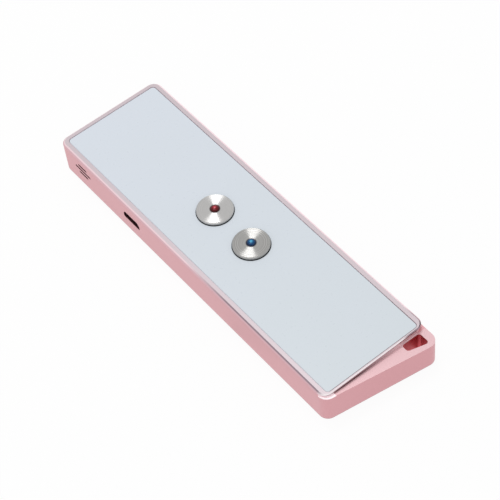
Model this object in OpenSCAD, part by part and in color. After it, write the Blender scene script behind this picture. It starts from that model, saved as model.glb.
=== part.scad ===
// Handheld translator: a slim aluminium pocket device with two round keys on a glossy panel,
// sound slits and a charging port in its left side, and a slanted chin with a lanyard slot.
// Millimetres. It lies on its back: X runs across, Y along with the chin at the minus end, Z up.
// The origin is on the back face, under the middle of the bounding box.

/* [Body] */
// Length from the top end to the tip of the chin
body_l = 140; // [138:0.5:150]
// Width across the sides
body_w = 39.7; // [39:0.1:46]
// Height of the rim above the back face
body_h = 12.2; // [12.2:0.1:14]
// Radius of the upright corners
corner_r = 3.2; // [2:0.1:3.5]
// Slant of the chin's end face, in degrees
chin_slant = 9.1; // [8:0.1:11]
// Step from the rim down to the top of the chin, at its right end
chin_step = 2.5; // [2.3:0.1:2.6]
// How much the top of the chin falls from its left end to its right end
chin_fall = 1.4; // [0:0.1:1.4]
// Polished chamfer round the top of the rim
rim_chamfer = 0.75; // [0.4:0.05:0.75]
// The same chamfer where it runs along the chin
end_chamfer = 0.25; // [0.2:0.05:0.4]
// How far the rim's end stands in from the left corner of the chin
rim_inset = 0.4; // [0.3:0.05:0.6]
// Radius of the edge round the back face
back_edge_r = 0.4; // [0.3:0.1:0.9]
// Thickness of the back wall
floor_t = 1.2; // [1:0.1:1.3]

/* [Panel] */
// Width of the rim beside the panel
rim_side = 2.1; // [1.9:0.05:2.6]
// Width of the rim above the panel, at the top end
rim_top = 1.9; // [1.5:0.1:2.4]
// Width of the rim below the panel, at the chin
rim_chin = 0.6; // [0.5:0.05:1]
// Thickness of the panel
panel_t = 1.4; // [1:0.1:1.5]
// How far the panel lies below the rim
panel_sink = 0.1; // [0:0.05:0.2]
// Gap between the panel and the rim
panel_gap = 0.1; // [0.05:0.05:0.15]
// Chamfer round the panel's upper edge
panel_edge = 0.15; // [0.1:0.05:0.3]

/* [Keys] */
// Diameter of a key cap
key_d = 12; // [10:0.5:13]
// Height of a key cap above the panel
key_proud = 1.1; // [0.8:0.1:1.6]
// Distance of the upper key from the top end
key_from_top = 58; // [57:0.5:60]
// Distance between the two keys
key_pitch = 18.2; // [17.5:0.1:19]
// Diameter of a jewel
jewel_d = 3.2; // [2.4:0.1:4]
// Travel of a key
key_travel = 0.3; // [0.2:0.05:0.35]
// Gap between a key cap and its hole in the panel
key_gap = 0.15; // [0.1:0.05:0.2]

/* [Openings] */
// Distance of the port's middle from the top end
port_from_top = 39; // [38:0.5:41]
// Width of the port's mouth
port_w = 8.4; // [8.2:0.1:9]
// Height of the port's mouth
port_h = 2.9; // [2.8:0.1:3.2]
// Height of the port's middle above the back face
port_z = 6.45; // [6.3:0.05:6.6]
// Distance of the slits' middle from the top end
slit_from_top = 12.4; // [12:0.1:13]
// Lengths of the three slits, from the top one down
slit_l = [4.6, 8.4, 4.8];
// Height of a slit
slit_h = 0.9; // [0.6:0.1:1]
// Distance between two slits
slit_pitch = 1.7; // [1.5:0.1:1.8]
// Height of the middle slit above the back face
slit_z = 7.1; // [6.9:0.1:7.2]

/* [Lanyard slot] */
// Width of the wall between the slot and the right side
slot_side_wall = 2.7; // [2.4:0.1:3.4]
// Width of the wall between the slot and the step
slot_step_wall = 0.3; // [0.3:0.1:0.8]
// Length of the slot across the chin
slot_l = 7; // [6:0.5:8]
// Opening of the slot at its wide end
slot_wide = 4.5; // [4:0.1:4.7]
// Opening of the slot at its narrow end
slot_narrow = 2.6; // [2.2:0.1:2.8]
// Radius of the slot's corners
slot_r = 0.9; // [0.6:0.1:1]

/* [Hidden] */
$fn = 64;
// Reach of a cut past the face it opens
cut = 0.05;
// Extra radius with which a rounding crosses the faces beside it, so that no sliver is left
graze = 0.001;
// Overlap of a straight run of an edge into the corners at its ends
run_over = 0.2;

// Places along the body
top_y = body_l / 2;
side_x = body_w / 2;
slant = tan(chin_slant);
function chin_y(x) = corner_r - top_y - corner_r / cos(chin_slant) - slant * (x - side_x + corner_r);
rim_end_y = chin_y(-side_x) + rim_inset;
pocket_x = side_x - rim_side;
pocket_top = top_y - rim_top;
pocket_end = rim_end_y + rim_chin;
pocket_r = 1.4;
red_y = top_y - key_from_top;
blue_y = red_y - key_pitch;
port_y = top_y - port_from_top;
slit_y = top_y - slit_from_top;

// Heights, from the back face up
chin_top = body_h - chin_step;
panel_top = body_h - panel_sink;
panel_low = panel_top - panel_t;
adhesive_t = 0.2;
adhesive_inset = 0.4;
adhesive_band = 2.8;
frame_top = panel_low - adhesive_t;
frame_t = 1.2;
frame_low = frame_top - frame_t;
frame_gap = 0.1;
port_shell_h = 2.5;
board_t = 1;
board_top = port_z - port_shell_h / 2;
board_low = board_top - board_t;

// Board outline
board_x = pocket_x - 1.25;
board_end = blue_y - 6.4;
board_step = top_y - 25;
board_leg_x = 4.2;
board_leg_top = top_y - 7.5;

// Screws
post_d = 4.2;
post_x = pocket_x - 1.9;
post_ys = [pocket_top - 2.9, board_end - 2.6, pocket_end + 2.5];
boss_h = 0.9;
post_top = frame_low - boss_h;
screw_d = 1.6;
screw_l = 4;
screw_head_d = 3;
screw_head_h = 0.8;
screw_seat = 1;
screw_fit = 0.02;
board_post_d = 4;
board_post_x = board_x - 2.4;
board_post_ys = [board_step - 3.4, board_end + 2.6];
board_screw_l = 2.8;
board_head_d = 2.8;
board_head_h = 0.7;
drive_w = 0.35;

// Keys
base_flange_d = key_d + 1.8;
base_flange_t = 0.9;
base_rest_gap = 0.05;
base_flange_top = panel_low - base_rest_gap;
base_flange_low = base_flange_top - base_flange_t;
base_boss_d = 3;
base_boss_h = 0.25;
cap_low = panel_low + 0.7;
cap_top = panel_top + key_proud;
cap_bevel = 0.3;
cap_skirt_t = 0.9;
cap_face_t = 0.9;
well_gap = 0.2;
well_d = base_flange_d + 2 * well_gap;
well_wall = 0.9;
well_sink = 0.8;
key_tab = [1.2, 1];
jewel_seat = 0.9;
jewel_rise = 0.8;
switch_w = 6;
switch_body_top = board_top + 3.2;
plunger_d = 3.4;
plunger_gap = 0.05;
plunger_top = base_flange_low - base_boss_h - plunger_gap;
plunger_low = board_top + 1.4;

// Battery
battery_x = 16;
battery_top = post_ys[1] - post_d / 2 - 0.3;
battery_end = post_ys[2] + post_d / 2 + 0.4;
battery_tape_t = 0.2;
battery_low = floor_t + battery_tape_t;
battery_h = 7;
battery_high = battery_low + battery_h;
battery_head = 2.8;
battery_board_x = 11;
battery_board_low = battery_low + 2.4;
battery_board_top = battery_board_low + 1;
tape_inset = 2;
foam_inset = [7, 4];
rib_x = 11;
rib_t = 1;
rib_gap = 0.1;
lead_d = 1;
lead_pitch = 1.5;
socket_x = 8;
socket_y = board_end + 2.4;
socket_z = board_top + 1.3;
socket_wall = 0.4;
plug = [4, 3, 1.8];
plug_gap = 0.1;

// Speaker and microphone
chamber_mid = top_y - 15.7;
chamber_l = 16.6;
chamber_wall = 0.8;
chamber_right = 2.6;
gasket_t = 0.6;
chamber_left = -pocket_x + gasket_t;
chamber_low = floor_t;
driver_d = 14.6;
driver_x = chamber_right - chamber_wall - driver_d / 2 - 0.1;
driver_h = 3.4;
mesh_t = 0.15;
mic_x = 8;
mic_z = 6.4;
mic_d = 4;
mic_l = 1.5;
mic_hole_d = 1;
boot_d = 5.6;
boot_l = 2.2;
thin_lead_d = 0.6;
thin_lead_pitch = 1;
speaker_lead_y = chamber_mid + 1.6;
basket_foot_r = 5.6;
lead_window = [6, 1.4];
gasket_low = chamber_low + driver_h - 0.6;

// Radio board and antenna
radio = [11, 9.6, 0.8];
radio_x = board_x - radio.x / 2 - 0.6;
radio_y = top_y - 19.6;
shield = [9.6, 8.4, 1.6];
shield_t = 0.2;
antenna_sink = 0.2;
antenna_left = pocket_x - 15.75;
antenna_right = antenna_left + 12;
antenna_y0 = top_y - 12;
antenna_y1 = top_y - 5;
antenna_track = 1.4;

// Charging port
port_mouth_x = 0.6 - side_x;
port_depth = 5.4;
port_shell_w = 7.6;
port_shell_t = 0.3;
port_back_t = 0.4;
tongue_w = 4.4;
contact_pitch = 0.7;

// Unit vector along v, and v turned a quarter turn to the left.
function unit(v) = v / norm(v);
function left_of(v) = [-v.y, v.x];
// Direction of the side that leaves corner i of outline p.
function way(p, i) = unit(p[(i + 1) % len(p)] - p[(i + len(p)) % len(p)]);
// Inward normals of the sides before and after corner i, and the middle of its rounding.
function normal_in(p, i) = left_of(way(p, i + len(p) - 1));
function normal_out(p, i) = left_of(way(p, i));
function middle(p, i, r) =
    p[i] + (normal_in(p, i) + normal_out(p, i)) * r / (1 + normal_in(p, i) * normal_out(p, i));

// Convex outline p, counter-clockwise, with its corners rounded to r.
module rounded_outline(p, r) {
    polygon([for (i = [0 : len(p) - 1]) each [
        middle(p, i, r) - r * normal_in(p, i),
        middle(p, i, r) - r * normal_out(p, i)
    ]]);
    for (i = [0 : len(p) - 1])
        translate(middle(p, i, r)) circle(r + graze);
}

// Runs the child profile round that outline: its x is measured outward, its y is height.
module round_the_edge(p, r) {
    for (i = [0 : len(p) - 1]) {
        nin = normal_in(p, i);
        nout = normal_out(p, i);
        next = (i + 1) % len(p);
        along = way(p, i);
        start = middle(p, i, r) - r * nout - run_over * along;
        end = middle(p, next, r) - r * nout + run_over * along;
        translate(middle(p, i, r))
            rotate([0, 0, atan2(-nin.y, -nin.x)])
            rotate_extrude(angle = acos(nin * nout)) translate([r + graze, 0]) children();
        translate([end.x, end.y, 0])
            rotate([0, 0, atan2(along.y, along.x)])
            rotate([90, 0, -90])
            linear_extrude(norm(end - start)) children();
    }
}

function box_outline(x0, y0, x1, y1) = [[x0, y0], [x1, y0], [x1, y1], [x0, y1]];

// Upright block between two opposite corners, with rounded upright edges.
module rounded_block(x0, y0, x1, y1, z0, z1, r) {
    translate([0, 0, z0])
        linear_extrude(z1 - z0) rounded_outline(box_outline(x0, y0, x1, y1), r);
}

module block(x0, y0, x1, y1, z0, z1) {
    translate([x0, y0, z0]) cube([x1 - x0, y1 - y0, z1 - z0]);
}

module post(x, y, z0, z1, d) {
    translate([x, y, z0]) cylinder(d = d, h = z1 - z0);
}

module at_posts() {
    for (x = [-post_x, post_x], y = post_ys)
        translate([x, y, 0]) children();
}

module at_board_posts() {
    for (x = [-board_post_x, board_post_x], y = board_post_ys)
        translate([x, y, 0]) children();
}

// Round wire through a list of points.
module wire(points, d) {
    for (i = [0 : len(points) - 2]) {
        run = points[i + 1] - points[i];
        translate(points[i])
            rotate([0, acos(run.z / norm(run)), atan2(run.y, run.x)])
            cylinder(d = d, h = norm(run), $fn = 24);
    }
    for (i = [1 : len(points) - 2])
        translate(points[i]) sphere(d = 1.06 * d, $fn = 24);
}

body_outline = [
    [-side_x, chin_y(-side_x)], [side_x, chin_y(side_x)], [side_x, top_y], [-side_x, top_y]
];
rim_outline = box_outline(-side_x, rim_end_y, side_x, top_y);
// The chamfer's own outline runs outside the rim's end, so less of it is cut there.
chamfer_outline = box_outline(-side_x, rim_end_y - rim_chamfer + end_chamfer, side_x, top_y);

// Triangle that takes a chamfer of size c off a top edge at height z.
module top_chamfer(c, z) {
    polygon([[-c, z], [0, z - c], [cut, z - c], [cut, z + cut], [-c, z + cut]]);
}

// Shape that leaves a rounding of radius r on the bottom edge.
module bottom_rounding(r) {
    difference() {
        translate([-r, -cut]) square([r + cut, r + cut]);
        translate([-r, r]) circle(r + graze);
    }
}

// Port outline seen from outside: narrow at the top, wide at the bottom.
module port_outline(w, h, r) {
    rounded_outline([
        [-w / 2, -h / 2], [w / 2, -h / 2], [w / 2, h * 0.1], [w / 2 - h * 0.32, h / 2],
        [h * 0.32 - w / 2, h / 2], [-w / 2, h * 0.1]
    ], r);
}

// Places a drawing on the left side, at y and z, and pushes it from x0 to x1.
module from_left(y, z, x0, x1) {
    translate([x1, y, z]) rotate([90, 0, -90]) linear_extrude(x1 - x0) children();
}

module slit_shapes(extra) {
    for (i = [0 : len(slit_l) - 1])
        translate([0, slit_pitch * (1 - i)])
            rounded_outline(box_outline(
                -slit_l[i] / 2 - extra, -slit_h / 2 - extra,
                slit_l[i] / 2 + extra, slit_h / 2 + extra
            ), slit_h * 0.45);
}

module lanyard_slot() {
    right = side_x - slot_side_wall;
    back = rim_end_y - slot_step_wall;
    translate([0, 0, -cut])
        linear_extrude(body_h)
        rounded_outline([
            [right - slot_l, back - slot_narrow], [right, back - slot_wide],
            [right, back], [right - slot_l, back]
        ], slot_r);
}

// Takes the chin down to its falling top, up to the rounded end of the rim.
module chin_cut() {
    low = chin_y(side_x) - 1;
    reach = rim_end_y + corner_r - low;
    intersection() {
        linear_extrude(2 * body_h) difference() {
            translate([-side_x - 1, low]) square([body_w + 2, reach]);
            rounded_outline(rim_outline, corner_r);
        }
        translate([side_x, low - 1, chin_top])
            rotate([0, atan(chin_fall / body_w), 0])
            translate([-2 * body_w, 0, 0]) cube([3 * body_w, reach + 2, body_h]);
    }
}

module body_shell() color([0.87, 0.66, 0.69]) difference() {
    union() {
        difference() {
            linear_extrude(body_h) rounded_outline(body_outline, corner_r);
            chin_cut();
            rounded_block(-pocket_x, pocket_end, pocket_x, pocket_top,
                floor_t, body_h + 1, pocket_r);
            round_the_edge(body_outline, corner_r) bottom_rounding(back_edge_r);
            round_the_edge(chamfer_outline, corner_r) top_chamfer(rim_chamfer, body_h);
        }
        at_posts() post(0, 0, floor_t - cut, post_top, post_d);
        at_board_posts() post(0, 0, floor_t - cut, board_low, board_post_d);
    }
    lanyard_slot();
    at_posts() post(0, 0, post_top - screw_l, post_top + cut, screw_d + 2 * screw_fit);
    at_board_posts() post(0, 0, board_low - board_screw_l + board_t, board_low + cut,
        screw_d + 2 * screw_fit);
    from_left(port_y, port_z, -side_x - 1, 1 - pocket_x) port_outline(port_w, port_h, 0.7);
    from_left(slit_y, slit_z, -side_x - 1, 1 - pocket_x) slit_shapes(0);
    translate([mic_x, pocket_top - 1, mic_z])
        rotate([-90, 0, 0]) cylinder(d = mic_hole_d, h = rim_top + 2);
}

module panel_plate(x, top, end, z0, z1, hole_d) {
    difference() {
        rounded_block(-x, end, x, top, z0, z1, pocket_r - panel_gap);
        for (y = [red_y, blue_y])
            post(0, y, z0 - 1, z1 + 1, hole_d);
    }
}

module front_panel() color([0.85, 0.89, 0.93]) difference() {
    x = pocket_x - panel_gap;
    hole_r = key_d / 2 + key_gap;
    panel_plate(x, pocket_top - panel_gap, pocket_end + panel_gap,
        panel_low, panel_top, 2 * hole_r);
    round_the_edge(box_outline(-x, pocket_end + panel_gap, x, pocket_top - panel_gap),
        pocket_r - panel_gap) top_chamfer(panel_edge, panel_top);
    for (y = [red_y, blue_y])
        translate([0, y, 0]) rotate_extrude() polygon([
            [hole_r - 1, panel_top - panel_edge], [hole_r, panel_top - panel_edge],
            [hole_r + panel_edge + cut, panel_top + cut], [hole_r - 1, panel_top + cut]
        ]);
}

// Adhesive sheet, open over the top and the bottom half of the frame.
module panel_adhesive() color([0.2, 0.2, 0.22]) difference() {
    x = pocket_x - adhesive_band;
    panel_plate(pocket_x - adhesive_inset, pocket_top - adhesive_inset,
        pocket_end + adhesive_inset, frame_top, panel_low, well_d + 0.4);
    rounded_block(-x, red_y + key_d, x, pocket_top - 2 * adhesive_band,
        frame_top - 1, panel_low + 1, 1);
    rounded_block(-x, pocket_end + 2 * adhesive_band, x, blue_y - key_d,
        frame_top - 1, panel_low + 1, 1);
}

// Key tab, or the notch for it when it is made larger by extra.
module key_tab_shape(z0, z1, extra) {
    reach = base_flange_d / 2 + key_tab.x;
    block(-reach - extra, -key_tab.y / 2 - extra, 0, key_tab.y / 2 + extra, z0, z1);
}

module frame_plate(z0, z1) {
    rounded_block(frame_gap - pocket_x, pocket_end + frame_gap, pocket_x - frame_gap,
        pocket_top - frame_gap, z0, z1, pocket_r - frame_gap);
}

module inner_frame() color([0.16, 0.16, 0.18]) difference() {
    union() {
        frame_plate(frame_low, frame_top);
        intersection() {
            frame_plate(post_top, frame_low + cut);
            at_posts() post(0, 0, post_top, frame_low + cut, post_d);
        }
        for (y = [red_y, blue_y])
            post(0, y, frame_low - well_sink, frame_low + cut, well_d + 2 * well_wall);
        for (x = [-rib_x, rib_x])
            block(x - rib_t / 2, battery_end, x + rib_t / 2, battery_top,
                battery_high + rib_gap, frame_low + cut);
    }
    for (y = [red_y, blue_y]) translate([0, y, 0]) {
        post(0, 0, post_top - 1, frame_top + 1, well_d);
        key_tab_shape(post_top - 1, frame_top + 1, well_gap);
    }
    at_posts() {
        post(0, 0, post_top - 1, frame_top, screw_d + 0.2);
        post(0, 0, frame_top - screw_seat, frame_top + 1, screw_head_d + 0.3);
    }
    antenna_recess();
}

// Shallow bed for the antenna in the frame, with a window for its contact.
module antenna_recess() {
    block(antenna_left - well_gap, antenna_y0 - well_gap, antenna_right + well_gap,
        antenna_y1 + well_gap, frame_top - antenna_sink, frame_top + 1);
    block(antenna_right - 2.6, antenna_y0 - 2.2, antenna_right + well_gap, antenna_y0 + 1,
        frame_low - 1, frame_top + 1);
}

// Folded strip: a slot in its middle, and one open to the right.
module antenna_strip() color([0.72, 0.5, 0.3]) {
    z0 = frame_top - antenna_sink;
    z1 = frame_top - 0.05;
    difference() {
        block(antenna_left, antenna_y0, antenna_right, antenna_y1, z0, z1);
        block(antenna_left + antenna_track, antenna_y0 + antenna_track,
            antenna_right - antenna_track, antenna_y0 + antenna_track + 1.6, z0 - 1, z1 + 1);
        block(antenna_left + antenna_track, antenna_y1 - 2 * antenna_track,
            antenna_right + 1, antenna_y1 - antenna_track, z0 - 1, z1 + 1);
    }
}

// Spring strip that stands on the board and reaches up to the antenna.
module antenna_contact() color([0.85, 0.68, 0.32]) {
    t = 0.2;
    translate([antenna_right - 2.2, antenna_y0 - 1, 0]) rotate([90, 0, 90]) linear_extrude(1.8) {
        translate([-1.2, board_top]) square([2.4, t]);
        translate([-1.2, board_top]) square([t, frame_low + 0.4 - board_top]);
        translate([-1.2, frame_low + 0.2]) square([2.6, t]);
        translate([1.2, frame_low + 0.2])
            square([t, frame_top - antenna_sink - frame_low - 0.2]);
    }
}

module at_red() { translate([0, red_y, 0]) children(); }
module at_blue() { translate([0, blue_y, 0]) children(); }

// Spun metal cap: a shallow cup turned over, with a hole for the jewel.
module key_cap() {
    r = key_d / 2;
    rotate_extrude() polygon([
        [jewel_d / 2, cap_top], [r - cap_bevel, cap_top], [r, cap_top - cap_bevel],
        [r, cap_low], [r - cap_skirt_t, cap_low], [r - cap_skirt_t, cap_top - cap_face_t],
        [jewel_d / 2, cap_top - cap_face_t]
    ]);
}

// Plastic core under the cap. Its flange keeps the key under the panel.
module key_base() {
    r = key_d / 2;
    rotate_extrude() polygon([
        [0, base_flange_low - base_boss_h], [base_boss_d / 2, base_flange_low - base_boss_h],
        [base_boss_d / 2, base_flange_low], [base_flange_d / 2, base_flange_low],
        [base_flange_d / 2, base_flange_top], [r, base_flange_top], [r, cap_low],
        [r - cap_skirt_t, cap_low], [r - cap_skirt_t, cap_top - cap_face_t],
        [0, cap_top - cap_face_t]
    ]);
    difference() {
        key_tab_shape(base_flange_low, frame_top - base_rest_gap, 0);
        post(0, 0, base_flange_low - 1, base_flange_top + 1, base_flange_d - 0.2);
    }
}

// Domed jewel: a short round body under a part of a ball.
module jewel() {
    r = jewel_d / 2;
    ball_r = (r * r + jewel_rise * jewel_rise) / (2 * jewel_rise);
    seat = cap_top - jewel_seat;
    post(0, 0, seat, cap_top, jewel_d);
    intersection() {
        translate([0, 0, cap_top + jewel_rise - ball_r]) sphere(r = ball_r);
        post(0, 0, cap_top - cut, cap_top + jewel_rise, jewel_d);
    }
}

module switch_housing() {
    w = switch_w / 2;
    difference() {
        union() {
            rounded_block(-w, -w, w, w, board_top, switch_body_top, 0.4);
            for (x = [-1, 1], y = [-1, 1])
                block(min(x * (w + 1), x * (w - 1)), y * 2.2 - 0.35,
                    max(x * (w + 1), x * (w - 1)), y * 2.2 + 0.35, board_top, board_top + 0.2);
        }
        post(0, 0, plunger_low - key_travel - 0.1, switch_body_top + 1, plunger_d + 0.1);
    }
}

module switch_plunger() { post(0, 0, plunger_low, plunger_top, plunger_d); }

module red_key_cap() color([0.82, 0.82, 0.82]) at_red() key_cap();
module red_key_base() color([0.2, 0.2, 0.22]) at_red() key_base();
module red_jewel() color([0.62, 0.1, 0.14]) at_red() jewel();
module red_switch_housing() color([0.12, 0.12, 0.12]) at_red() switch_housing();
module red_switch_plunger() color([0.55, 0.1, 0.1]) at_red() switch_plunger();
module blue_key_cap() color([0.72, 0.71, 0.69]) at_blue() key_cap();
module blue_key_base() color([0.2, 0.2, 0.22]) at_blue() key_base();
module blue_jewel() color([0.08, 0.32, 0.5]) at_blue() jewel();
module blue_switch_housing() color([0.12, 0.12, 0.12]) at_blue() switch_housing();
module blue_switch_plunger() color([0.1, 0.2, 0.5]) at_blue() switch_plunger();

module main_board() color([0.1, 0.35, 0.2]) difference() {
    union() {
        rounded_block(-board_x, board_end, board_x, board_step, board_low, board_top, 1);
        rounded_block(board_leg_x, board_step - 4, board_x, board_leg_top,
            board_low, board_top, 1);
    }
    at_board_posts() post(0, 0, board_low - 1, board_top + 1, screw_d + 0.2);
}

// Flat chip standing on the board.
module chip(x, y, w, l, h) {
    block(x - w / 2, y - l / 2, x + w / 2, y + l / 2, board_top, board_top + h);
}

module processor_chip() color([0.1, 0.1, 0.11]) chip(5, port_y + 1, 10, 10, 0.9);
module memory_chip() color([0.12, 0.12, 0.13]) chip(-6.6, port_y - 8, 6, 5, 1);
module audio_chip() color([0.12, 0.12, 0.13]) chip(10.4, red_y + 1, 4, 4, 0.8);
module power_chip() color([0.12, 0.12, 0.13]) chip(-9.6, red_y + 1, 4, 4, 0.8);
module power_coil() color([0.35, 0.33, 0.32]) chip(-9.6, red_y - 6, 4.2, 4.2, 1.8);
module clock_crystal() color([0.78, 0.78, 0.8]) chip(13, port_y + 1, 3.2, 2.5, 0.8);

// Resistors and capacitors, in rows beside the chips.
module small_parts() color([0.6, 0.5, 0.38]) {
    for (i = [0 : 5]) {
        chip(0.4 + 1.8 * i, port_y - 6.2, 0.6, 1.1, 0.45);
        chip(0.4 + 1.8 * i, port_y + 8, 0.6, 1.1, 0.45);
    }
    for (i = [0 : 3]) {
        chip(13.6, red_y + 5 - 2.4 * i, 1.6, 0.9, 0.7);
        chip(-13.6, red_y + 5 - 2.4 * i, 1.6, 0.9, 0.7);
        chip(8.6 + 1.6 * i, blue_y - 0.4, 0.6, 1.1, 0.45);
    }
}

module radio_board() color([0.08, 0.2, 0.42])
    chip(radio_x, radio_y, radio.x, radio.y, radio.z);

module radio_shield() color([0.76, 0.77, 0.78])
    translate([radio_x, radio_y, board_top + radio.z]) difference() {
        w = shield.x / 2;
        l = shield.y / 2;
        block(-w, -l, w, l, 0, shield.z);
        block(shield_t - w, shield_t - l, w - shield_t, l - shield_t, -1, shield.z - shield_t);
    }

module battery_cell() color([0.75, 0.77, 0.8])
    rounded_block(-battery_x, battery_end, battery_x, battery_top - battery_head,
        battery_low, battery_high, 1.4);

module battery_board() color([0.1, 0.35, 0.2])
    block(-battery_board_x, battery_top - battery_head, battery_board_x, battery_top,
        battery_board_low, battery_board_top);

module battery_tape() color([0.9, 0.9, 0.88])
    block(tape_inset - battery_x, battery_end + tape_inset, battery_x - tape_inset,
        battery_top - battery_head - tape_inset, floor_t, battery_low);

module battery_foam() color([0.25, 0.25, 0.26])
    block(foam_inset.x - battery_x, battery_end + foam_inset.y, battery_x - foam_inset.x,
        battery_top - battery_head - foam_inset.y, battery_high, frame_low);

// One lead, from the battery's board up to the plug.
function battery_lead_path(x) = [
    [x, battery_top - 0.6, battery_board_top + lead_d / 2],
    [x, battery_top + 0.9, battery_board_top + lead_d / 2],
    [x, socket_y - plug.y - 1.6, socket_z],
    [x, socket_y - plug.y, socket_z]
];

module battery_lead_red() color([0.75, 0.1, 0.1])
    wire(battery_lead_path(socket_x - lead_pitch / 2), lead_d);
module battery_lead_black() color([0.1, 0.1, 0.1])
    wire(battery_lead_path(socket_x + lead_pitch / 2), lead_d);

module battery_plug() color([0.93, 0.92, 0.86])
    block(socket_x - plug.x / 2, socket_y - plug.y, socket_x + plug.x / 2, socket_y,
        board_top + socket_wall, board_top + socket_wall + plug.z);

module battery_socket() color([0.88, 0.86, 0.78]) difference() {
    w = plug.x / 2 + plug_gap;
    block(socket_x - w - 0.7, socket_y - 2, socket_x + w + 0.7, socket_y + 1,
        board_top, board_top + 3);
    block(socket_x - w, socket_y - plug.y, socket_x + w, socket_y,
        board_top + socket_wall, board_top + socket_wall + plug.z + plug_gap);
}

module speaker_basket() color([0.13, 0.13, 0.14]) translate([driver_x, chamber_mid, chamber_low])
    rotate_extrude() polygon([
        [4.9, 0], [basket_foot_r, 0], [basket_foot_r, 2.2], [driver_d / 2, 2.6],
        [driver_d / 2, driver_h],
        [driver_d / 2 - 0.8, driver_h], [driver_d / 2 - 0.8, driver_h - 0.5], [4.9, 2.4]
    ]);

module speaker_cone() color([0.3, 0.29, 0.28]) translate([driver_x, chamber_mid, chamber_low])
    rotate_extrude() polygon([
        [0, 2.6], [3, 2.4], [6.5, 2.9], [6.5, 3.05], [3, 2.6], [0, 2.8]
    ]);

module speaker_magnet() color([0.55, 0.56, 0.58]) translate([driver_x, chamber_mid, chamber_low])
    cylinder(d = 9.8, h = 2);

// Walls round the speaker, open to the slits.
module speaker_chamber() color([0.18, 0.18, 0.2]) difference() {
    y0 = chamber_mid - chamber_l / 2;
    y1 = chamber_mid + chamber_l / 2;
    block(chamber_left, y0, chamber_right, y1, chamber_low, frame_low);
    post(driver_x, chamber_mid, chamber_low - 1, frame_low + 1, driver_d + 0.1);
    block(chamber_left - 1, y0 + chamber_wall, driver_x, y1 - chamber_wall,
        chamber_low + driver_h, frame_low + 1);
    block(driver_x, chamber_mid - lead_window.x / 2, chamber_right + 1,
        chamber_mid + lead_window.x / 2, chamber_low + 0.8, chamber_low + 0.8 + lead_window.y);
}

module speaker_gasket() color([0.15, 0.15, 0.15]) difference() {
    y0 = chamber_mid - chamber_l / 2;
    y1 = chamber_mid + chamber_l / 2;
    block(mesh_t - pocket_x, y0, chamber_left, y1, gasket_low, frame_low);
    block(-pocket_x - 1, y0 + chamber_wall, chamber_left + 1, y1 - chamber_wall,
        chamber_low + driver_h, frame_low + 1);
}

module slit_mesh() color([0.24, 0.2, 0.2])
    block(-pocket_x, chamber_mid - chamber_l / 2, mesh_t - pocket_x, chamber_mid + chamber_l / 2,
        gasket_low, frame_low);

// Leads that come out of the chamber, rise beside the board and end on its edge.
module speaker_leads() color([0.7, 0.12, 0.12]) {
    rise_x = (chamber_right + board_leg_x) / 2;
    out_z = chamber_low + 1.5;
    for (y = [speaker_lead_y, speaker_lead_y + thin_lead_pitch]) {
        aside = y - thin_lead_d / 2 - chamber_mid;
        wire([
            [driver_x + sqrt(basket_foot_r * basket_foot_r - aside * aside), y, out_z],
            [rise_x, y, out_z], [rise_x, y, board_top + 0.8],
            [board_leg_x + 1.2, y, board_top + thin_lead_d / 2]
        ], thin_lead_d);
    }
}

module microphone() color([0.78, 0.78, 0.78])
    translate([mic_x, pocket_top - 0.5, mic_z]) rotate([90, 0, 0]) cylinder(d = mic_d, h = mic_l);

module microphone_boot() color([0.14, 0.14, 0.14])
    translate([mic_x, pocket_top, mic_z]) rotate([90, 0, 0]) difference() {
        cylinder(d = boot_d, h = boot_l);
        translate([0, 0, -1]) cylinder(d = mic_hole_d + 0.2, h = 3);
        translate([0, 0, 0.5]) cylinder(d = mic_d, h = boot_l);
    }

// Flat two-core ribbon from the microphone down to the board.
module microphone_leads() color([0.15, 0.15, 0.6])
    for (side = [-1, 1]) {
        x = mic_x + side * 0.9 - thin_lead_d / 2;
        y1 = pocket_top - 0.5 - mic_l;
        y0 = board_leg_top - 0.9;
        block(x, y0, x + thin_lead_d, y1, mic_z - thin_lead_d, mic_z);
        block(x, y0, x + thin_lead_d, y0 + thin_lead_d, board_top, mic_z - thin_lead_d / 2);
    }

module port_shell() color([0.8, 0.8, 0.8]) difference() {
    from_left(port_y, port_z, port_mouth_x, port_mouth_x + port_depth)
        port_outline(port_shell_w, port_shell_h, 0.4);
    from_left(port_y, port_z, port_mouth_x - 1, port_mouth_x + port_depth - port_back_t)
        port_outline(port_shell_w - 2 * port_shell_t, port_shell_h - 2 * port_shell_t, 0.3);
}

// Tongue with its foot against the back of the shell.
module port_tongue() color([0.1, 0.1, 0.1]) {
    y = tongue_w / 2;
    x1 = port_mouth_x + port_depth - port_back_t;
    block(port_mouth_x + 0.8, port_y - y, x1, port_y + y, port_z + 0.15, port_z + 0.7);
    block(x1 - 0.8, port_y - y, x1, port_y + y, port_z - 0.8, port_z + 0.3);
}

module port_contacts() color([0.85, 0.68, 0.32])
    for (i = [-2 : 2])
        translate([port_mouth_x, port_y + contact_pitch * i, port_z])
            block(1.1, -0.15, 4, 0.15, 0.05, 0.15);

// Screw with its head's underside at z, pointing down, and a cross in the head.
module screw(z, length, head_d, head_h) {
    difference() {
        union() {
            post(0, 0, z, z + head_h, head_d);
            post(0, 0, z - length, z + cut, screw_d);
        }
        for (turn = [0, 90])
            rotate([0, 0, turn])
                block(-head_d * 0.32, -drive_w / 2, head_d * 0.32, drive_w / 2,
                    z + head_h * 0.4, z + head_h + 1);
    }
}

module frame_screws() color([0.6, 0.6, 0.62])
    at_posts() screw(frame_top - screw_seat, screw_l, screw_head_d, screw_head_h);

module board_screws() color([0.6, 0.6, 0.62])
    at_board_posts() screw(board_top, board_screw_l, board_head_d, board_head_h);

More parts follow.
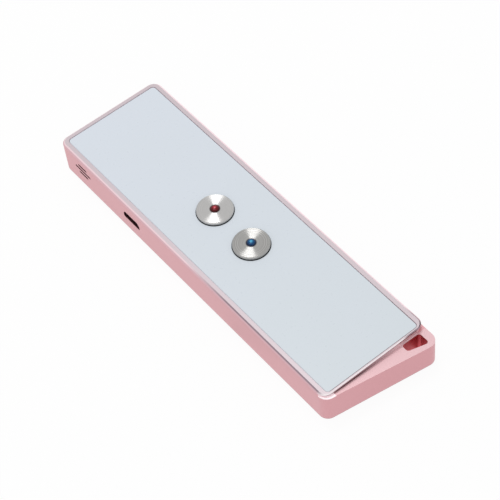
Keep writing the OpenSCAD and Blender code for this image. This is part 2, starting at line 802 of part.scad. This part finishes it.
body_shell();
front_panel();
panel_adhesive();
inner_frame();
red_key_cap();
red_key_base();
red_jewel();
red_switch_housing();
red_switch_plunger();
blue_key_cap();
blue_key_base();
blue_jewel();
blue_switch_housing();
blue_switch_plunger();
main_board();
processor_chip();
memory_chip();
audio_chip();
power_chip();
power_coil();
clock_crystal();
small_parts();
radio_board();
radio_shield();
antenna_strip();
antenna_contact();
battery_cell();
battery_board();
battery_tape();
battery_foam();
battery_lead_red();
battery_lead_black();
battery_plug();
battery_socket();
speaker_basket();
speaker_cone();
speaker_magnet();
speaker_chamber();
speaker_gasket();
slit_mesh();
speaker_leads();
microphone();
microphone_boot();
microphone_leads();
port_shell();
port_tongue();
port_contacts();
frame_screws();
board_screws();
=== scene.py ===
"""Studio picture of the handheld translator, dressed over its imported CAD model.

Metres, in the frame of the CAD source: the device lies on its back, X runs across,
Y along with the chin at the minus end, and Z up. Places on the device are in
millimetres, as in that source.
"""

import math

import bmesh
import bpy
from mathutils import Matrix, Vector


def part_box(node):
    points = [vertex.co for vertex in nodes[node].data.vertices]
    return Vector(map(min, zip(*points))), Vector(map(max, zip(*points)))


MM = 0.001

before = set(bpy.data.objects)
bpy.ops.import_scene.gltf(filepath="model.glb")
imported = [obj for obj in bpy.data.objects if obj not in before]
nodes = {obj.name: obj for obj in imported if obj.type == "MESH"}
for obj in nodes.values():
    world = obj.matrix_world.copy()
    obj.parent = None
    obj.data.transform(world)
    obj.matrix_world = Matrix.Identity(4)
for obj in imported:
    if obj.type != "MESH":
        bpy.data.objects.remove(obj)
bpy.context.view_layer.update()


# ---------------------------------------------------------------- places, in millimetres

def corners(name):
    """Lowest and highest corner of a CAD node."""
    low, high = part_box(name)
    return low / MM, high / MM


shell_low, shell_high = corners("body_shell")
panel_low, panel_high = corners("front_panel")
mesh_low, mesh_high = corners("slit_mesh")
port_low = corners("port_shell")[0]
jewel_radius = corners("red_jewel")[1].x

# From the panel out to just past the pocket's wall, and in to the end of its broken edge.
pocket_reach = 0.12
panel_edge = 0.13
# Where the rim ends above the chin, and the heights of its flat and of its chamfer.
rim_end = panel_low.y - 0.7
rim_top = shell_high.z
chamfer_middle = rim_top - 0.38
chamfer_foot = rim_top - 0.77
# Just inside the rim on the right, and just below the chin's top at its lowest.
rim_inside = panel_high.x - 0.05
under_chin_top = 9
# The strap slot goes straight down through the chin.
slot_x = (10.1, 17.2)
slot_y = (-68.8, -63.95)


# ---------------------------------------------------------------- colours

def linear(red, green, blue):
    """A paint chip of 0 to 255 as the linear colour that a shader takes."""
    def one(value):
        value = value / 255
        return value / 12.92 if value <= 0.04045 else ((value + 0.055) / 1.055) ** 2.4
    return (one(red), one(green), one(blue), 1.0)


def shades(colour, swing):
    """A darker and a lighter shade of a colour, by a share of itself."""
    dark = tuple(c * (1 - swing) for c in colour[:3]) + (1,)
    light = tuple(min(c * (1 + swing), 1) for c in colour[:3]) + (1,)
    return dark, light


# ---------------------------------------------------------------- material nodes

class Finish:
    """A node material under construction: a Principled shader and what feeds it."""

    def __init__(self, name, colour, roughness, metallic=0.0):
        self.material = bpy.data.materials.new(name)
        self.material.use_nodes = True
        self.tree = self.material.node_tree
        self.shader = self.tree.nodes["Principled BSDF"]
        self.output = self.tree.nodes["Material Output"]
        self.set(Base_Color=colour, Roughness=roughness, Metallic=metallic)
        coordinates = self.node("ShaderNodeTexCoord")
        self.place = coordinates.outputs["Object"]
        self.direction = coordinates.outputs["Normal"]

    def node(self, kind, **settings):
        made = self.tree.nodes.new(kind)
        for key, value in settings.items():
            setattr(made, key, value)
        return made

    def link(self, source, target):
        self.tree.links.new(source, target)

    def set(self, **sockets):
        """Plain values on the shader's own sockets, by names such as Coat_Weight."""
        for key, value in sockets.items():
            self.shader.inputs[key.replace("_", " ")].default_value = value

    def feed(self, **sockets):
        """Patterns into the shader's own sockets, by the same names."""
        for key, source in sockets.items():
            self.link(source, self.shader.inputs[key.replace("_", " ")])

    def noise(self, scale, detail=2.0):
        """Even mottling; scale is about its spots per metre."""
        tex = self.node("ShaderNodeTexNoise")
        tex.inputs["Scale"].default_value = scale
        tex.inputs["Detail"].default_value = detail
        self.link(self.place, tex.inputs["Vector"])
        return tex.outputs["Fac"]

    def ramp(self, value, low, high, colour_low, colour_high):
        """Blend from one colour to another as value runs from low to high."""
        ramp = self.node("ShaderNodeValToRGB")
        ramp.color_ramp.elements[0].position = low
        ramp.color_ramp.elements[0].color = colour_low
        ramp.color_ramp.elements[1].position = high
        ramp.color_ramp.elements[1].color = colour_high
        self.link(value, ramp.inputs["Fac"])
        return ramp.outputs["Color"]

    def spread(self, value, low, high, to_low, to_high):
        """Map a value linearly onto a new range."""
        ranged = self.node("ShaderNodeMapRange")
        ranged.inputs["From Min"].default_value = low
        ranged.inputs["From Max"].default_value = high
        ranged.inputs["To Min"].default_value = to_low
        ranged.inputs["To Max"].default_value = to_high
        self.link(value, ranged.inputs["Value"])
        return ranged.outputs["Result"]

    def times(self, *factors):
        """Product of the factors."""
        product = factors[0]
        for factor in factors[1:]:
            multiply = self.node("ShaderNodeMath", operation="MULTIPLY")
            self.link(product, multiply.inputs[0])
            self.link(factor, multiply.inputs[1])
            product = multiply.outputs[0]
        return product

    def added(self, value, share, base):
        """A share of one value on top of another."""
        add = self.node("ShaderNodeMath", operation="MULTIPLY_ADD")
        self.link(value, add.inputs[0])
        add.inputs[1].default_value = share
        self.link(base, add.inputs[2])
        return add.outputs[0]

    def axis(self, letter):
        """One of the object's own coordinates, in metres."""
        split = self.node("ShaderNodeSeparateXYZ")
        self.link(self.place, split.inputs[0])
        return split.outputs[letter]

    def radius(self, y):
        """Distance from the upright axis through (0, y), in metres."""
        flat = self.node("ShaderNodeMapping")
        flat.inputs["Location"].default_value = (0, -y, 0)
        flat.inputs["Scale"].default_value = (1, 1, 0)
        self.link(self.place, flat.inputs["Vector"])
        length = self.node("ShaderNodeVectorMath", operation="LENGTH")
        self.link(flat.outputs["Vector"], length.inputs[0])
        return length.outputs["Value"]

    def facing(self, off, on):
        """0 to 1 as a face turns up, from a normal whose height is off to one that is on."""
        split = self.node("ShaderNodeSeparateXYZ")
        self.link(self.direction, split.inputs[0])
        return self.spread(split.outputs["Z"], off, on, 0.0, 1.0)

    def zone(self, soft, **ranges):
        """1 inside the ranges given for X, Y and Z, and 0 past their soft ends, all in
        millimetres. None leaves an end open."""
        sides = []
        for letter, (low, high) in ranges.items():
            place = self.axis(letter)
            if low is not None:
                sides.append(self.spread(place, (low - soft) * MM, (low + soft) * MM, 0.0, 1.0))
            if high is not None:
                sides.append(self.spread(place, (high - soft) * MM, (high + soft) * MM, 1.0, 0.0))
        return self.times(*sides)

    def blend(self, factor, under, over):
        """Colour over where factor is 1, and under where it is 0."""
        mix = self.node("ShaderNodeMix", data_type="RGBA")
        self.link(factor, mix.inputs["Factor"])
        # The node's sockets for colours are its seventh and eighth, and its third output.
        for socket, value in ((mix.inputs[6], under), (mix.inputs[7], over)):
            if isinstance(value, tuple):
                socket.default_value = value
            else:
                self.link(value, socket)
        return mix.outputs[2]

    def blend_value(self, factor, under, over):
        """The same for a number; over is a plain one."""
        mix = self.node("ShaderNodeMix", data_type="FLOAT")
        self.link(factor, mix.inputs["Factor"])
        self.link(under, mix.inputs[2])
        mix.inputs[3].default_value = over
        return mix.outputs[0]

    def bump(self, height, strength, depth):
        """Add relief; depth is the height in metres of a full step of the pattern."""
        bump = self.node("ShaderNodeBump")
        bump.inputs["Strength"].default_value = strength
        bump.inputs["Distance"].default_value = depth
        self.link(height, bump.inputs["Height"])
        self.feed(Normal=bump.outputs["Normal"])


def speckled(name, colour, roughness, metallic=0.0, grain=4000, tint=0.06, relief=0.1):
    """A finish with a fine grain: slight shifts of tone and roughness, and a soft relief."""
    finish = Finish(name, colour, roughness, metallic)
    grains = finish.noise(grain, detail=3.0)
    dark, light = shades(colour, tint)
    finish.feed(
        Base_Color=finish.ramp(grains, 0.3, 0.7, dark, light),
        Roughness=finish.spread(grains, 0.3, 0.7, roughness * 0.92, roughness * 1.08),
    )
    finish.bump(grains, relief, 0.02 * MM)
    return finish.material


# ---------------------------------------------------------------- the shell's metal

def blasted_tone(finish, grains):
    """Rose anodising, with painted shade on the chin's end face, and darker in the last half
    millimetre above the table, where the rounded back edge shades it."""
    sides = finish.ramp(grains, 0.3, 0.7, linear(217, 164, 170), linear(223, 171, 176))
    chin_end = finish.zone(3, Y=(None, rim_end - 0.7), Z=(shell_low.z - 1, rim_top + 0.8))
    # Painted shade: the chin's end face is darker than the sides.
    end_face_shade = finish.ramp(grains, 0.3, 0.7, linear(213, 157, 163), linear(219, 164, 169))
    tone = finish.blend(chin_end, sides, end_face_shade)
    foot_shade = finish.times(finish.zone(0.12, Z=(None, 0.45)), finish.facing(-0.95, -0.85))
    return finish.blend(foot_shade, tone, linear(188, 144, 150))


def rim_wall(finish):
    """The upright wall from the chin's top to the rim, fading out at both sides."""
    wall = finish.zone(0.01, Y=(rim_end - 0.03, rim_end + 3.3), Z=(under_chin_top, chamfer_foot))
    left_fade = finish.zone(1.25, X=(shell_low.x + 3.6, None))
    right_fade = finish.zone(0.8, X=(None, shell_high.x - 3.05))
    return finish.times(wall, left_fade, right_fade)


def chin_tone(finish, tone, wall):
    """Adds the chin: a painted highlight on its top, paler than the sides, the wall behind it
    with painted shade at its low left and painted light at its right, and a painted
    highlight where the wall runs out."""
    half_width = 16 * MM
    across = finish.spread(finish.axis("X"), -half_width, half_width, 0.0, 1.0)
    # Painted highlight: the chin's top is paler than the sides.
    top = finish.times(finish.zone(0.01, Y=(None, rim_end - 0.02)), finish.facing(0.9, 0.95))
    top_painted_highlight = finish.ramp(across, 0.0, 1.0, linear(222, 182, 186), linear(218, 182, 186))
    tone = finish.blend(top, tone, top_painted_highlight)
    # Painted shade on the wall at its low left, and painted light at its right.
    wall_painted_shade_and_light = finish.ramp(across, 0.3, 0.8, linear(104, 70, 76), linear(246, 222, 226))
    tone = finish.blend(wall, tone, wall_painted_shade_and_light)
    # Painted highlight where the wall runs out at the near corner.
    corner_highlight = finish.zone(
        0.1,
        X=(None, shell_low.x + 4.05),
        Y=(None, rim_end + 2.4),
        Z=(chamfer_foot - 0.73, chamfer_foot),
    )
    return finish.blend(corner_highlight, tone, linear(254, 238, 241))


def rim_tone(finish, tone, rim):
    """Adds the bare rim: a matt flat, and a chamfer cut with a diamond, with a painted
    reflection on its upper half, dark by the chin and bright by the top end. Its lower half
    is rose all along."""
    tone = finish.blend(rim, tone, linear(196, 183, 188))
    chamfer = finish.times(rim, finish.facing(0.3, 0.4), finish.facing(0.9, 0.85))
    # Painted reflection on the chamfer: dark by the chin, bright by the top end.
    by_top_end = finish.zone(10.2, Y=(-7.7, None))
    chamfer_reflection = finish.blend(by_top_end, linear(152, 134, 142), linear(237, 212, 217))
    lower_half = finish.zone(0.07, Z=(None, chamfer_middle))
    chamfer_reflection = finish.blend(lower_half, chamfer_reflection, linear(214, 176, 183))
    tone = finish.blend(chamfer, tone, chamfer_reflection)

    # Painted reflections on the chamfer: bright on the far side and the near corner, dark at the
    # far corner.
    far_side = finish.zone(
        1.5, X=(rim_inside, None), Y=(rim_end + 6.8, None), Z=(None, rim_top + 0.8))
    near_corner = finish.zone(1.2, X=(None, 12), Y=(None, rim_end + 2), Z=(None, rim_top + 0.8))
    far_corner = finish.zone(0.5, X=(rim_inside, None), Y=(rim_end - 0.1, rim_end + 1.6))
    for stretch, painted_reflection in (
        (far_side, linear(252, 226, 232)),
        (near_corner, linear(252, 244, 246)),
        (far_corner, linear(104, 84, 90)),
    ):
        tone = finish.blend(finish.times(chamfer, stretch), tone, painted_reflection)
    return tone


def strap_slot(finish):
    """The upright walls of the strap slot."""
    upright = finish.times(finish.facing(0.6, 0.5), finish.facing(-0.6, -0.5))
    return finish.times(finish.zone(0.1, X=slot_x, Y=slot_y), upright)


def slit_and_port_mouths(finish):
    """The cut faces of the slits and the port, from just inside the left wall's face."""
    return finish.zone(
        0.03,
        X=(shell_low.x + 0.06, 0),
        Y=(port_low.y - 5, mesh_high.y + 1),
        Z=(mesh_low.z - 1, mesh_high.z + 1),
    )


def panel_pocket(finish):
    """The pocket's wall, up to a hair above the panel."""
    return finish.zone(
        0.01,
        X=(panel_low.x - pocket_reach, panel_high.x + pocket_reach),
        Y=(panel_low.y - pocket_reach, panel_high.y + pocket_reach),
        Z=(shell_low.z + 1, panel_high.z + 0.02),
    )


def rose_aluminium():
    """Bead-blasted, rose-anodised aluminium with a bare polished rim, and painted shade in its
    cuts.
    """
    finish = Finish("rose_aluminium", linear(217, 166, 172), 0.4, 1.0)
    grains = finish.noise(6000, detail=3.0)
    wall = rim_wall(finish)
    rim = finish.zone(0.01, Z=(chamfer_foot, None))
    mouths = slit_and_port_mouths(finish)
    pocket = panel_pocket(finish)

    tone = blasted_tone(finish, grains)
    tone = chin_tone(finish, tone, wall)
    tone = rim_tone(finish, tone, rim)
    # Painted shade on the strap slot's walls, reddened like light bounced round inside them.
    tone = finish.blend(strap_slot(finish), tone, linear(200, 84, 92))
    # Painted shade in the mouths of the slits and the port.
    tone = finish.blend(mouths, tone, linear(56, 15, 22))
    # Painted light on the pocket's wall, where the gap round the panel shades it.
    tone = finish.blend(pocket, tone, linear(242, 222, 228))

    blasted = finish.spread(grains, 0.3, 0.7, 0.37, 0.43)
    roughness = finish.blend_value(rim, blasted, 0.34)

    # Faces that look up are hazier than the walls, as if blasted harder, and cuts are dull.
    metallic = finish.spread(finish.facing(0.9, 0.95), 0.0, 1.0, 1.0, 0.4)
    metallic = finish.blend_value(wall, metallic, 0.4)
    metallic = finish.blend_value(pocket, metallic, 0.0)
    metallic = finish.blend_value(mouths, metallic, 0.0)

    finish.feed(Base_Color=tone, Roughness=roughness, Metallic=metallic)
    finish.bump(grains, 0.1, 0.02 * MM)
    return finish.material


# ---------------------------------------------------------------- the panel and the keys

def pale_panel():
    """Pale blue-white lacquer under a clear sheet, with shaded edges near the chin."""
    finish = Finish("pale_panel", linear(214, 221, 229), 0.3)
    to_top_end = finish.spread(finish.axis("Y"), panel_low.y * MM, panel_high.y * MM, -0.3, 0.7)
    drift = finish.added(finish.noise(60), 0.6, to_top_end)
    tone = finish.ramp(drift, 0.0, 1.0, linear(211, 219, 225), linear(214, 221, 230))
    chin_edge = finish.zone(0.01, Y=(None, panel_low.y + panel_edge))
    tone = finish.blend(chin_edge, tone, linear(150, 142, 146))
    right_edge = finish.zone(0.01, X=(panel_high.x - panel_edge, None))
    near_chin = finish.zone(7, Y=(None, panel_low.y + 12.1))
    tone = finish.blend(finish.times(right_edge, near_chin), tone, linear(176, 168, 174))
    roughness = finish.spread(finish.noise(900), 0.3, 0.7, 0.27, 0.33)
    finish.feed(Base_Color=tone, Roughness=roughness)
    finish.set(Coat_Weight=0.3, Coat_Roughness=0.12)
    return finish.material


def spun_metal(name, y, face, swing):
    """Face-turned metal: fine rings about the key's own axis, with painted shade at its foot by
    the panel and round the jewel's seat. The rings swing about the face's colour by a share of
    it."""
    finish = Finish(name, face, 0.27, 1.0)
    radius = finish.radius(y)
    rings = finish.node("ShaderNodeTexNoise", noise_dimensions="1D")
    rings.inputs["Scale"].default_value = 3200
    rings.inputs["Detail"].default_value = 5
    rings.inputs["Roughness"].default_value = 0.7
    finish.link(radius, rings.inputs["W"])
    dark, light = shades(face, swing)
    tone = finish.ramp(rings.outputs["Fac"], 0.32, 0.68, dark, light)
    # Painted shade at the foot, by the panel.
    foot_shade = finish.zone(0.06, Z=(None, panel_high.z + 0.2))
    tone = finish.blend(foot_shade, tone, linear(52, 49, 50))
    # Painted shade round the jewel's seat.
    seat_outside = (jewel_radius + 0.18) * MM
    seat_inside = (jewel_radius + 0.02) * MM
    seat_shade = finish.spread(radius, seat_outside, seat_inside, 0.0, 1.0)
    tone = finish.blend(seat_shade, tone, linear(96, 90, 92))
    tangent = finish.node("ShaderNodeTangent", direction_type="RADIAL", axis="Z")
    finish.feed(Base_Color=tone, Tangent=tangent.outputs["Tangent"])
    finish.set(Anisotropic=1.0, Anisotropic_Rotation=0.25)
    finish.bump(rings.outputs["Fac"], 0.05, 0.002 * MM)
    return finish.material


def jewel(name, y, heart_highlight, body, edge):
    """Cut glass bead: a painted highlight at the heart of a dark body, and painted shade
    where it meets the metal.
    """
    finish = Finish(name, body, 0.1)
    facets = finish.noise(1500, detail=1.0)
    uneven_radius = finish.added(facets, 0.5 * MM, finish.radius(y))
    reach = finish.spread(uneven_radius, 0.35 * MM, 1.85 * MM, 0.0, 1.0)
    # Painted highlight at the bead's heart.
    inner = finish.ramp(reach, 0.05, 0.4, heart_highlight, body)
    # Painted shade at the bead's edge, where it meets the metal.
    outer = finish.spread(reach, 0.5, 0.85, 0.0, 1.0)
    finish.feed(Base_Color=finish.blend(outer, inner, edge))
    finish.set(Specular_IOR_Level=0.15, Coat_Weight=0.12, Coat_Roughness=0.03)
    return finish.material


# ---------------------------------------------------------------- dressing the CAD nodes

def dress(material, *names):
    """Give CAD nodes their finish."""
    for name in names:
        nodes[name].data.materials.clear()
        nodes[name].data.materials.append(material)


dress(rose_aluminium(), "body_shell")
dress(pale_panel(), "front_panel")

# Each key's face with the swing of its rings, and its jewel's painted highlight, body and painted
# edge shade.
key_tones = {
    "red": (linear(184, 183, 182), 0.07),
    "blue": (linear(164, 163, 161), 0.24),
}
jewel_tones = {
    "red": (linear(208, 78, 90), linear(112, 15, 25), linear(62, 6, 12)),
    "blue": (linear(84, 176, 214), linear(12, 72, 122), linear(4, 30, 62)),
}
for key in ("red", "blue"):
    low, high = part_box(f"{key}_jewel")
    key_y = (low.y + high.y) / 2
    dress(spun_metal(f"{key}_spun_metal", key_y, *key_tones[key]), f"{key}_key_cap")
    dress(jewel(f"{key}_jewel", key_y, *jewel_tones[key]), f"{key}_jewel")
dress(speckled("dark_plastic", linear(52, 52, 55), 0.5), "red_key_base", "blue_key_base")

# Black mouldings, and the panel's adhesive.
dress(speckled("black_plastic", linear(30, 30, 32), 0.45),
      "inner_frame", "red_switch_housing", "blue_switch_housing",
      "speaker_basket", "speaker_chamber", "port_tongue")
dress(speckled("black_tape", linear(42, 42, 44), 0.6, grain=2500), "panel_adhesive")

# Boards and what is soldered to them.
dress(speckled("green_board", linear(24, 96, 58), 0.35, grain=1500, tint=0.1),
      "main_board", "battery_board")
dress(speckled("blue_board", linear(22, 58, 120), 0.35, grain=1500, tint=0.1), "radio_board")
dress(speckled("chip_resin", linear(34, 34, 36), 0.55),
      "processor_chip", "memory_chip", "audio_chip", "power_chip")
dress(speckled("ferrite", linear(88, 84, 82), 0.6), "power_coil")
dress(speckled("tan_ceramic", linear(176, 150, 112), 0.4), "small_parts")
dress(speckled("tinned_steel", linear(196, 197, 200), 0.3, 1.0),
      "clock_crystal", "radio_shield", "microphone")
dress(speckled("copper_strip", linear(200, 128, 88), 0.3, 1.0), "antenna_strip")
dress(speckled("gold_contact", linear(222, 182, 98), 0.25, 1.0),
      "antenna_contact", "port_contacts")
dress(speckled("dark_nickel", linear(70, 46, 52), 0.4, 1.0), "port_shell")

# Battery.
dress(speckled("battery_pouch", linear(188, 192, 198), 0.35, 0.8, grain=900, tint=0.05),
      "battery_cell")
dress(speckled("white_tape", linear(228, 228, 222), 0.6), "battery_tape")
dress(speckled("grey_foam", linear(78, 78, 80), 0.9, grain=1800, tint=0.2, relief=0.5),
      "battery_foam")
dress(speckled("cream_plastic", linear(224, 216, 190), 0.45), "battery_plug", "battery_socket")

# Leads, and the switches' plungers, which share their colours.
dress(speckled("red_lead", linear(190, 34, 34), 0.4),
      "battery_lead_red", "speaker_leads", "red_switch_plunger")
dress(speckled("black_lead", linear(28, 28, 30), 0.4), "battery_lead_black")
dress(speckled("blue_lead", linear(38, 52, 150), 0.4), "microphone_leads", "blue_switch_plunger")

# Speaker, microphone boot and screws.
dress(speckled("cone_film", linear(82, 78, 74), 0.3), "speaker_cone")
dress(speckled("magnet_plate", linear(150, 152, 156), 0.3, 1.0), "speaker_magnet")
dress(speckled("black_foam", linear(36, 36, 37), 0.9, relief=0.5), "speaker_gasket")
dress(speckled("dark_mesh", linear(48, 38, 40), 0.7), "slit_mesh")
dress(speckled("black_rubber", linear(34, 34, 34), 0.75), "microphone_boot")
dress(speckled("screw_steel", linear(170, 171, 175), 0.3, 1.0), "frame_screws", "board_screws")


# ---------------------------------------------------------------- studio

def to_the_eye(tree):
    """1 for rays that reach the eye straight, by a gloss or through glass, and else 0."""
    path = tree.nodes.new("ShaderNodeLightPath")
    seen = path.outputs["Is Camera Ray"]
    for way in ("Is Glossy Ray", "Is Transmission Ray"):
        either = tree.nodes.new("ShaderNodeMath")
        either.operation = "MAXIMUM"
        tree.links.new(seen, either.inputs[0])
        tree.links.new(path.outputs[way], either.inputs[1])
        seen = either.outputs[0]
    return seen


def mixed(tree, factor, first, second):
    """The first shader where factor is 0, and the second where it is 1."""
    mix = tree.nodes.new("ShaderNodeMixShader")
    tree.links.new(factor, mix.inputs["Fac"])
    tree.links.new(first, mix.inputs[1])
    tree.links.new(second, mix.inputs[2])
    return mix.outputs["Shader"]


def studio_floor(half_side, gap, glow_share):
    """White sweep a hair under the device: it shows as white, less the share that keeps a
    soft shadow, and it is clear from below, so that the device's back can be looked at."""
    shape = bmesh.new()
    bmesh.ops.create_grid(shape, x_segments=1, y_segments=1, size=half_side)
    bmesh.ops.translate(shape, verts=shape.verts, vec=(0, 0, -gap))
    mesh = bpy.data.meshes.new("studio_floor")
    shape.to_mesh(mesh)
    shape.free()
    floor = bpy.data.objects.new("studio_floor", mesh)
    bpy.context.scene.collection.objects.link(floor)

    finish = Finish("studio_white", (0.92, 0.92, 0.92, 1), 0.9)
    finish.feed(Roughness=finish.spread(finish.noise(20), 0.3, 0.7, 0.88, 0.92))
    glow = finish.node("ShaderNodeEmission").outputs["Emission"]
    share = finish.spread(to_the_eye(finish.tree), 0.0, 1.0, 0.0, glow_share)
    top = mixed(finish.tree, share, finish.shader.outputs["BSDF"], glow)
    clear = finish.node("ShaderNodeBsdfTransparent").outputs["BSDF"]
    below = finish.node("ShaderNodeNewGeometry").outputs["Backfacing"]
    finish.link(mixed(finish.tree, below, top, clear), finish.output.inputs["Surface"])
    mesh.materials.append(finish.material)


def studio_world(light):
    """White all round: to the eye at full strength, and on the device at a plain level."""
    world = bpy.data.worlds.new("studio")
    world.use_nodes = True
    tree = world.node_tree
    tree.nodes.clear()
    skies = []
    for strength in (light, 1.0):
        sky = tree.nodes.new("ShaderNodeBackground")
        sky.inputs["Color"].default_value = (1, 1, 1, 1)
        sky.inputs["Strength"].default_value = strength
        skies.append(sky.outputs["Background"])
    out = tree.nodes.new("ShaderNodeOutputWorld")
    tree.links.new(mixed(tree, to_the_eye(tree), *skies), out.inputs["Surface"])
    bpy.context.scene.world = world


# The photograph's view: from the chin's left, high up, through a long lens.
camera_place = Vector((-177.0, -278.5, 432.5)) * MM
camera_turn = math.radians(-32.91)
camera_tilt = math.radians(90 - 52.48)
camera_roll = math.radians(-7.52)
photo_width_px = 500
focal_length_px = 1719
sensor_width = 36


def photo_camera():
    """Camera at the photograph's viewpoint."""
    data = bpy.data.cameras.new("camera")
    data.sensor_width = sensor_width
    data.lens = sensor_width * focal_length_px / photo_width_px
    data.clip_start = 0.01
    data.clip_end = 20
    camera = bpy.data.objects.new("camera", data)
    camera.location = camera_place
    turn = Matrix.Rotation(camera_turn, 3, "Z")
    tilt = Matrix.Rotation(camera_tilt, 3, "X")
    roll = Matrix.Rotation(camera_roll, 3, "Z")
    camera.rotation_euler = (turn @ tilt @ roll).to_euler()
    bpy.context.scene.collection.objects.link(camera)
    bpy.context.scene.camera = camera


lamp_height = 1.2


def strip_lamp(name, reach, slide, width, depth, watts):
    """Level strip lamp over the device, across the camera's line: reach is towards the
    camera, slide across the line, and the strip shines straight down."""
    light = bpy.data.lights.new(name, "AREA")
    light.shape = "RECTANGLE"
    light.size = width
    light.size_y = depth
    light.energy = watts
    lamp = bpy.data.objects.new(name, light)
    toward = Vector((math.sin(camera_turn), -math.cos(camera_turn), 0))
    across = Vector((math.cos(camera_turn), math.sin(camera_turn), 0))
    lamp.location = toward * reach + across * slide + Vector((0, 0, lamp_height))
    lamp.rotation_euler = (0, 0, camera_turn)
    bpy.context.scene.collection.objects.link(lamp)


studio_floor(half_side=3, gap=0.05 * MM, glow_share=0.93)
studio_world(light=0.62)
photo_camera()
# A fan of strips that narrows away from the camera draws the wedges on the spun keys.
strip_lamp("near_strip", reach=0.13, slide=-0.295, width=0.848, depth=0.26, watts=1.7)
strip_lamp("middle_strip", reach=-0.13, slide=-0.196, width=0.572, depth=0.26, watts=1.15)
strip_lamp("far_strip", reach=-0.41, slide=-0.1145, width=0.339, depth=0.28, watts=3.1)

bpy.context.scene.view_settings.view_transform = "Standard"
